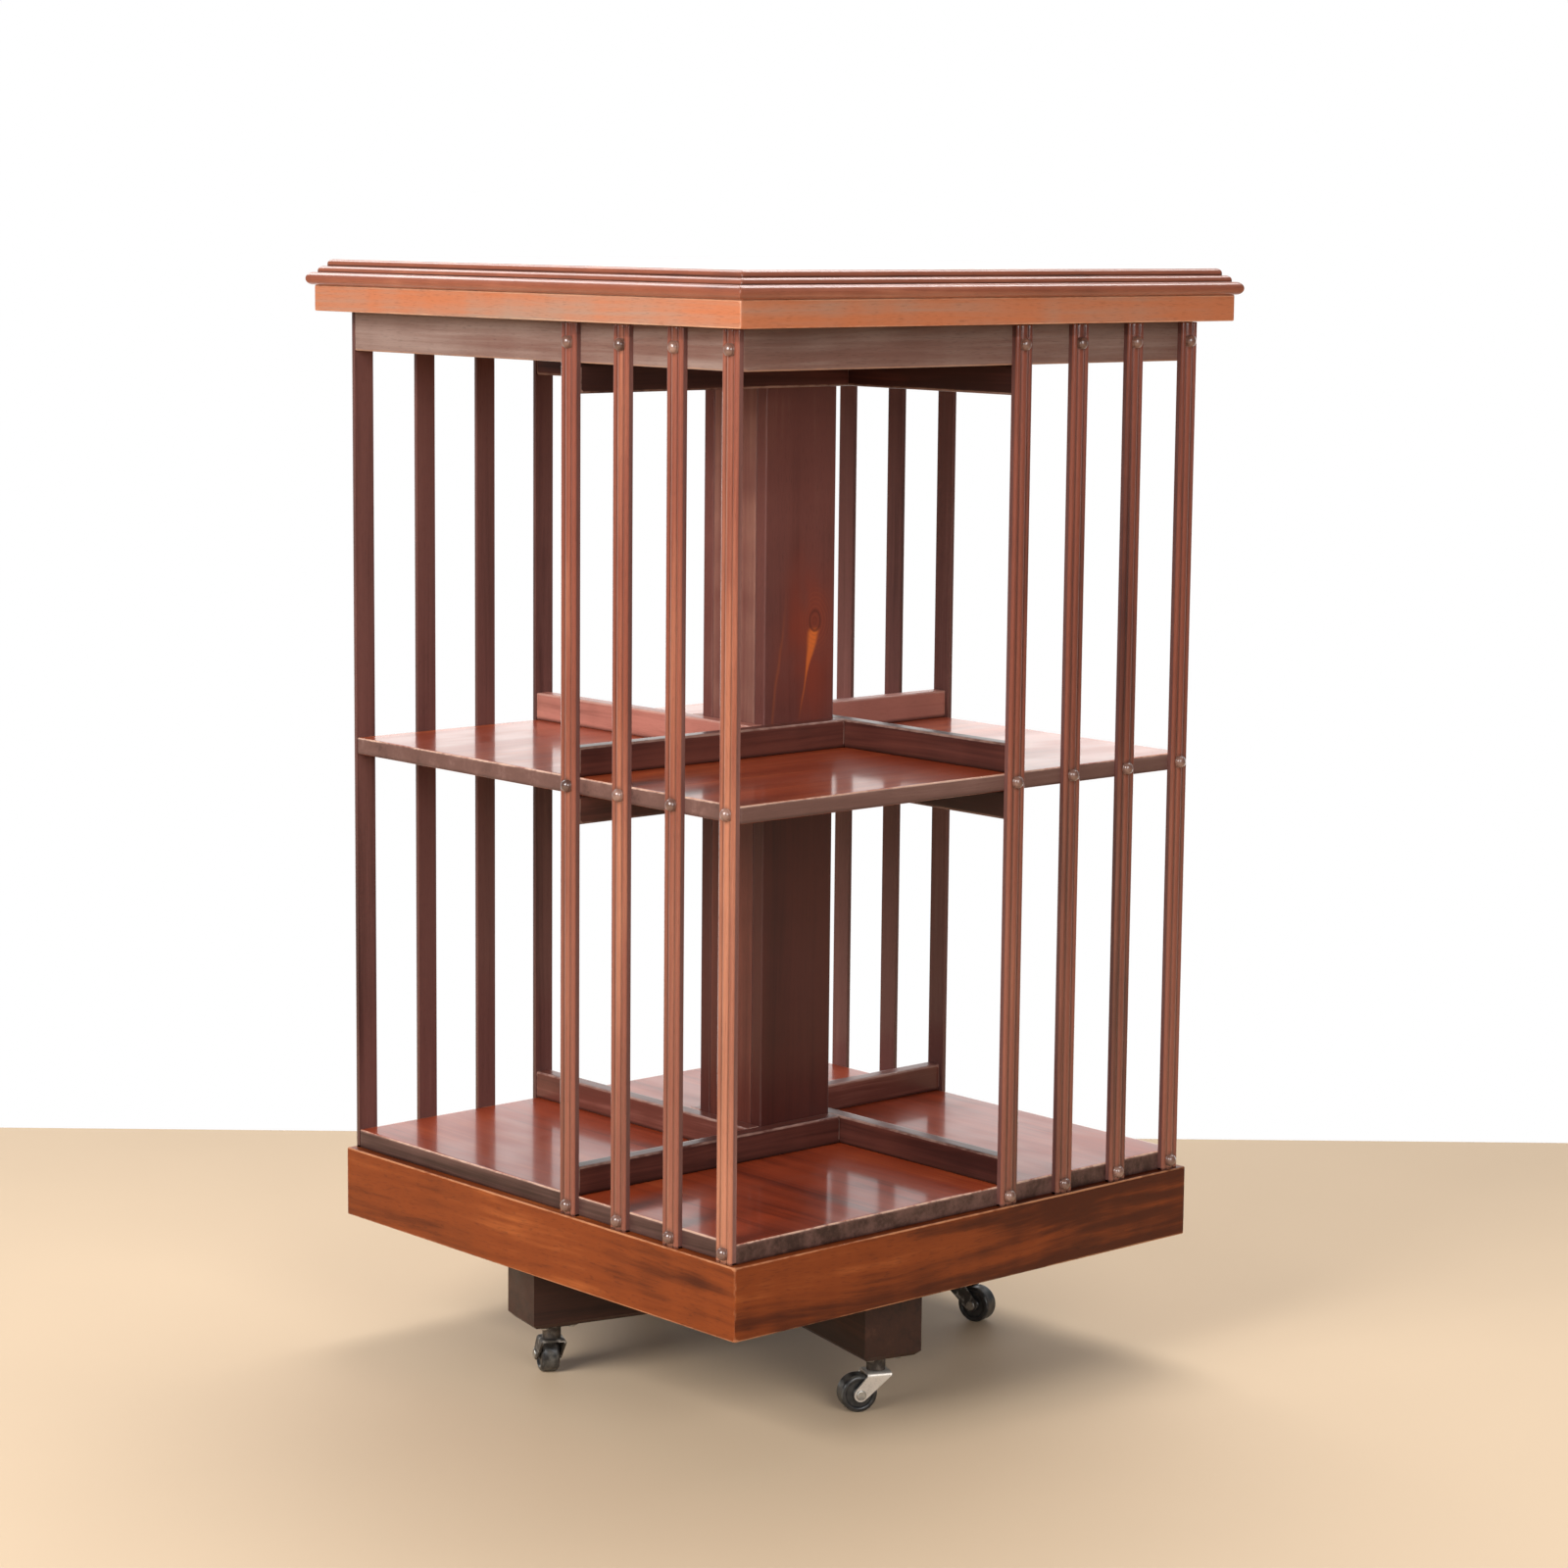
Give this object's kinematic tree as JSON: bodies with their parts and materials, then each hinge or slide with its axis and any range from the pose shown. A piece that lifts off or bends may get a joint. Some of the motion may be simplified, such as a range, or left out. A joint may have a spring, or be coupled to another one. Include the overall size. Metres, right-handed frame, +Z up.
{
  "type": "revolving bookcase",
  "caption": "Square revolving bookcase of dark polished mahogany: open book bays between reeded slats round a hollow column, moulded top, plinth, and a crossed foot on swivel castors.",
  "frame": {"origin": "on the floor, on the spindle axis", "axes": "+Z up along the spindle, +X and +Y square to the case's flat faces"},
  "size_m": [0.531, 0.531, 0.89],
  "materials": {
    "slat_mahogany": "French-polished reeded mahogany",
    "stud_wood": "dark polished turned wood",
    "foot_wood": "dark stained wood, satin",
    "wheel_black": "black semi-gloss wheel",
    "castor_zinc": "bright zinc plate",
    "castor_steel": "plain steel",
    "screw_steel": "dulled steel",
    "spindle_steel": "turned steel",
    "cast_iron": "black cast iron",
    "brass": "turned brass",
    "plinth_mahogany": "French-polished figured mahogany",
    "frieze_mahogany": "French-polished orange-brown mahogany",
    "top_mahogany": "French-polished moulded mahogany",
    "shelf_mahogany": "glossy red-brown mahogany",
    "rail_wood": "dark polished wood",
    "apron_mahogany": "dull purplish-brown mahogany",
    "column_wood": "dark red-brown wood",
    "carcass_wood": "unpolished secondary wood"
  },
  "bodies": {
    "foot": {"foot_arm_upper": "foot_wood", "foot_arm_lower": "foot_wood", "spindle": "spindle_steel", "spindle_flange": "cast_iron", "flange_screws": "screw_steel", "castor_plates": "castor_zinc", "castor_kingpins": "castor_steel", "castor_balls": "castor_steel", "castor_screws": "screw_steel"},
    "case": {"apron_boards": "apron_mahogany", "base_shelf": "shelf_mahogany", "bearing_screws": "screw_steel", "column_lower_boards": "column_wood", "column_upper_boards": "column_wood", "deck_panel": "carcass_wood", "frieze_mouldings": "frieze_mahogany", "glue_blocks": "carcass_wood", "guide_bush": "brass", "mid_shelf": "shelf_mahogany", "pivot_block": "carcass_wood", "pivot_cup": "brass", "plinth_board_back": "plinth_mahogany", "plinth_board_front": "plinth_mahogany", "plinth_board_left": "plinth_mahogany", "plinth_board_right": "plinth_mahogany", "rails_on_base_shelf": "rail_wood", "rails_on_mid_shelf": "rail_wood", "rails_under_deck": "rail_wood", "rails_under_mid_shelf": "rail_wood", "slat_back_1": "slat_mahogany", "slat_back_2": "slat_mahogany", "slat_back_3": "slat_mahogany", "slat_back_4": "slat_mahogany", "slat_front_1": "slat_mahogany", "slat_front_2": "slat_mahogany", "slat_front_3": "slat_mahogany", "slat_front_4": "slat_mahogany", "slat_left_1": "slat_mahogany", "slat_left_2": "slat_mahogany", "slat_left_3": "slat_mahogany", "slat_left_4": "slat_mahogany", "slat_right_1": "slat_mahogany", "slat_right_2": "slat_mahogany", "slat_right_3": "slat_mahogany", "slat_right_4": "slat_mahogany", "slat_studs": "stud_wood", "top_board": "top_mahogany"},
    "castor_1_swivel": {"castor_fork_1": "castor_zinc", "castor_axle_1": "castor_steel"},
    "castor_1_wheel": {"castor_wheel_1": "wheel_black"},
    "castor_2_swivel": {"castor_fork_2": "castor_zinc", "castor_axle_2": "castor_steel"},
    "castor_2_wheel": {"castor_wheel_2": "wheel_black"},
    "castor_3_swivel": {"castor_fork_3": "castor_zinc", "castor_axle_3": "castor_steel"},
    "castor_3_wheel": {"castor_wheel_3": "wheel_black"},
    "castor_4_swivel": {"castor_fork_4": "castor_zinc", "castor_axle_4": "castor_steel"},
    "castor_4_wheel": {"castor_wheel_4": "wheel_black"}
  },
  "joints": [
    {"name": "case_turn", "type": "hinge", "parent": "foot", "child": "case", "pos_m": [0, 0, 0.5], "axis": [0, 0, 1], "continuous": true},
    {"name": "castor_1_turn", "type": "hinge", "parent": "foot", "child": "castor_1_swivel", "pos_m": [0.18626, -0.04575, 0.0312], "axis": [0, 0, 1], "continuous": true},
    {"name": "castor_1_roll", "type": "hinge", "parent": "castor_1_swivel", "child": "castor_1_wheel", "pos_m": [0.17996, -0.05991, 0.015], "axis": [0.9135, -0.4067, 0], "continuous": true},
    {"name": "castor_2_turn", "type": "hinge", "parent": "foot", "child": "castor_2_swivel", "pos_m": [0.04575, 0.18626, 0.0312], "axis": [0, 0, 1], "continuous": true},
    {"name": "castor_2_roll", "type": "hinge", "parent": "castor_2_swivel", "child": "castor_2_wheel", "pos_m": [0.06079, 0.19001, 0.015], "axis": [-0.2419, 0.9703, 0], "continuous": true},
    {"name": "castor_3_turn", "type": "hinge", "parent": "foot", "child": "castor_3_swivel", "pos_m": [-0.18626, 0.04575, 0.0312], "axis": [0, 0, 1], "continuous": true},
    {"name": "castor_3_roll", "type": "hinge", "parent": "castor_3_swivel", "child": "castor_3_wheel", "pos_m": [-0.20031, 0.0392, 0.015], "axis": [0.4226, -0.9063, 0], "continuous": true},
    {"name": "castor_4_turn", "type": "hinge", "parent": "foot", "child": "castor_4_swivel", "pos_m": [-0.04575, -0.18626, 0.0312], "axis": [0, 0, 1], "continuous": true},
    {"name": "castor_4_roll", "type": "hinge", "parent": "castor_4_swivel", "child": "castor_4_wheel", "pos_m": [-0.05956, -0.17922, 0.015], "axis": [-0.454, -0.891, 0], "continuous": true}
  ]
}
